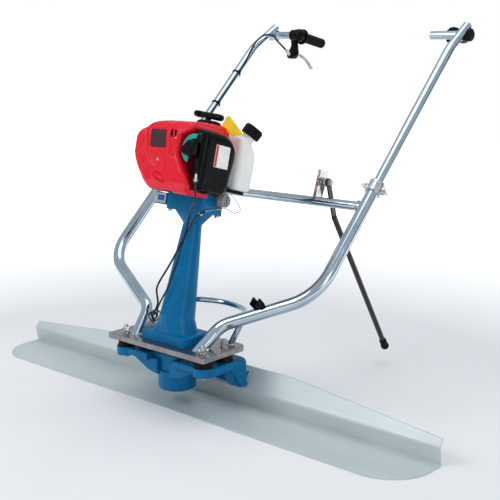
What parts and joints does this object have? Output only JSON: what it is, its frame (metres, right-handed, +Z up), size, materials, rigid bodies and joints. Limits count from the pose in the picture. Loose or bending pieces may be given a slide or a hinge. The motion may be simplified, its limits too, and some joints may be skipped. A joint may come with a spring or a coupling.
{
  "type": "vibrating finishing screed",
  "caption": "Walk-behind concrete finishing screed: long folded blade under an engine-driven eccentric exciter, with a leaning drive column, tubular handle frame and folding stand.",
  "frame": {"origin": "centre of the blade's flat underside, which rests on the concrete, midway along the blade", "axes": "+X along the blade, to the right when seen from the front; +Y from the blade's front edge towards the operator and the handles; +Z up, away from the concrete"},
  "size_m": [1.26, 0.8814, 0.8591],
  "materials": {
    "blade": "bare mill finish, lightly scuffed",
    "blue_casting": "cast aluminium in glossy blue paint",
    "blue_steel": "steel in glossy blue paint",
    "grey_casting": "as cast aluminium, satin",
    "machined_steel": "turned steel",
    "zinc": "bright zinc plate",
    "muffler_steel": "heat-resistant matt black",
    "chrome_tube": "bright chrome plate",
    "black_steel": "steel in semi-gloss black paint",
    "black_rubber": "matt black rubber",
    "black_plastic": "moulded black plastic, fine grain",
    "grey_plastic": "moulded dark grey plastic",
    "red_plastic": "glossy red moulding",
    "green_plastic": "moulded green plastic",
    "tank_plastic": "translucent white plastic",
    "filter_foam": "grey foam",
    "rope": "braided cord",
    "black_cable": "black cable sheath, satin"
  },
  "bodies": {
    "machine": {"blade": "blade", "blade_bolts": "zinc", "exciter_housing": "blue_casting", "exciter_cover": "blue_casting", "bearings": "machined_steel", "rubber_mounts": "black_rubber", "mount_bolts": "zinc", "base_plate": "blue_steel", "column": "blue_casting", "column_bolts": "zinc", "clutch_housing": "blue_casting", "head_side_plate": "blue_casting", "crankcase": "grey_casting", "cylinder": "grey_casting", "muffler": "muffler_steel", "engine_cover": "red_plastic", "starter_cover": "red_plastic", "air_cleaner_cover": "black_plastic", "air_filter": "filter_foam", "carburettor": "grey_casting", "fuel_tank": "tank_plastic", "tank_bracket": "black_plastic", "left_rail": "chrome_tube", "right_rail": "chrome_tube", "cross_tube": "chrome_tube", "rear_braces": "chrome_tube", "rail_collars": "zinc", "collar_bolts": "zinc", "column_cables": "black_cable", "stand_bracket": "zinc", "stand_bolt": "zinc", "stand_spring": "zinc", "leg_clip": "black_plastic"},
    "exciter_rotor": {"eccentric_shaft": "machined_steel", "eccentric_weight": "machined_steel"},
    "drive_line": {"drive_shaft": "machined_steel", "clutch_drum": "machined_steel"},
    "crank": {"crankshaft": "machined_steel", "flywheel": "grey_casting", "clutch_shoes": "machined_steel"},
    "starter_reel": {"starter_pulley": "black_plastic"},
    "starter_grip": {"starter_handle": "black_plastic", "starter_rope": "rope"},
    "throttle_valve": {"throttle_arm": "machined_steel"},
    "choke": {"choke_lever": "green_plastic"},
    "primer": {"primer_bulb": "black_rubber"},
    "fuel_filler_cap": {"fuel_cap": "black_plastic"},
    "oil_filler_cap": {"oil_cap": "grey_plastic"},
    "left_tube": {"left_handle_tube": "chrome_tube", "cable_ties": "black_plastic", "throttle_cable": "black_cable"},
    "right_tube": {"right_handle_tube": "chrome_tube"},
    "left_handle": {"left_handle_bar": "chrome_tube", "left_grip": "black_rubber", "lever_bracket": "black_plastic"},
    "right_handle": {"right_handle_bar": "chrome_tube", "right_grip": "black_rubber"},
    "throttle_trigger": {"throttle_lever": "zinc"},
    "kickstand": {"stand_leg": "black_steel", "stand_foot": "black_rubber"}
  },
  "joints": [
    {"name": "exciter_spin", "type": "hinge", "parent": "machine", "child": "exciter_rotor", "pos_m": [0, -0.015, 0.06], "axis": [0, 0, 1], "continuous": true},
    {"name": "drive_spin", "type": "hinge", "parent": "machine", "child": "drive_line", "pos_m": [0, -0.015, 0.185], "axis": [0, 0.2462, 0.9692], "continuous": true},
    {"name": "crank_spin", "type": "hinge", "parent": "machine", "child": "crank", "pos_m": [0, 0.07017, 0.52035], "axis": [0, 0.2462, 0.9692], "continuous": true},
    {"name": "starter_pull", "type": "slide", "parent": "machine", "child": "starter_grip", "axis": [0, 0.2462, 0.9692], "range_m": [0, 0.6]},
    {"name": "starter_reel_turn", "type": "hinge", "parent": "machine", "child": "starter_reel", "pos_m": [0, 0.09109, 0.60274], "axis": [0, 0.2462, 0.9692], "range_deg": [0, 1400]},
    {"name": "throttle_squeeze", "type": "hinge", "parent": "left_handle", "child": "throttle_trigger", "pos_m": [-0.22386, 0.68987, 0.77369], "axis": [1, 0, 0], "range_deg": [0, 22], "stiffness_Nm_per_rad": 1},
    {"name": "throttle_arm_turn", "type": "hinge", "parent": "machine", "child": "throttle_valve", "pos_m": [0.05, 0.02471, 0.55666], "axis": [0, 0.2462, 0.9692], "range_deg": [0, 56]},
    {"name": "choke_turn", "type": "hinge", "parent": "machine", "child": "choke", "pos_m": [0.07, -0.02469, 0.57746], "axis": [0, 0.9692, -0.2462], "range_deg": [0, 50]},
    {"name": "primer_press", "type": "slide", "parent": "machine", "child": "primer", "axis": [0, 0.2462, 0.9692], "range_m": [0, 0.005], "stiffness_N_per_m": 1500},
    {"name": "fuel_cap_turn", "type": "hinge", "parent": "machine", "child": "fuel_filler_cap", "pos_m": [0.044, 0.17093, 0.58112], "axis": [0.3482, 0.5139, 0.784], "range_deg": [0, 360]},
    {"name": "oil_cap_turn", "type": "hinge", "parent": "machine", "child": "oil_filler_cap", "pos_m": [0.07, 0.06848, 0.45682], "axis": [1, 0, 0], "range_deg": [0, 360]},
    {"name": "left_handle_height", "type": "slide", "parent": "machine", "child": "left_tube", "axis": [0.0124, 0.7153, 0.6987], "range_m": [-0.06, 0.09]},
    {"name": "right_handle_height", "type": "slide", "parent": "machine", "child": "right_tube", "axis": [-0.0124, 0.7153, 0.6987], "range_m": [-0.05, 0.1]},
    {"name": "left_handle_tilt", "type": "hinge", "parent": "left_tube", "child": "left_handle", "pos_m": [-0.30586, 0.68787, 0.82769], "axis": [1, 0, 0], "range_deg": [-15, 15]},
    {"name": "right_handle_tilt", "type": "hinge", "parent": "right_tube", "child": "right_handle", "pos_m": [0.306, 0.68, 0.82], "axis": [1, 0, 0], "range_deg": [-15, 15]},
    {"name": "stand_fold", "type": "hinge", "parent": "machine", "child": "kickstand", "pos_m": [0.198, 0.278, 0.488], "axis": [1, 0, 0], "range_deg": [0, 285]}
  ],
  "couplings": [
    {"joint": "exciter_spin", "follows": "drive_spin", "ratio": 1},
    {"joint": "starter_reel_turn", "follows": "starter_pull", "rad_per_m": 40},
    {"joint": "throttle_arm_turn", "follows": "throttle_squeeze", "ratio": 2.5}
  ]
}
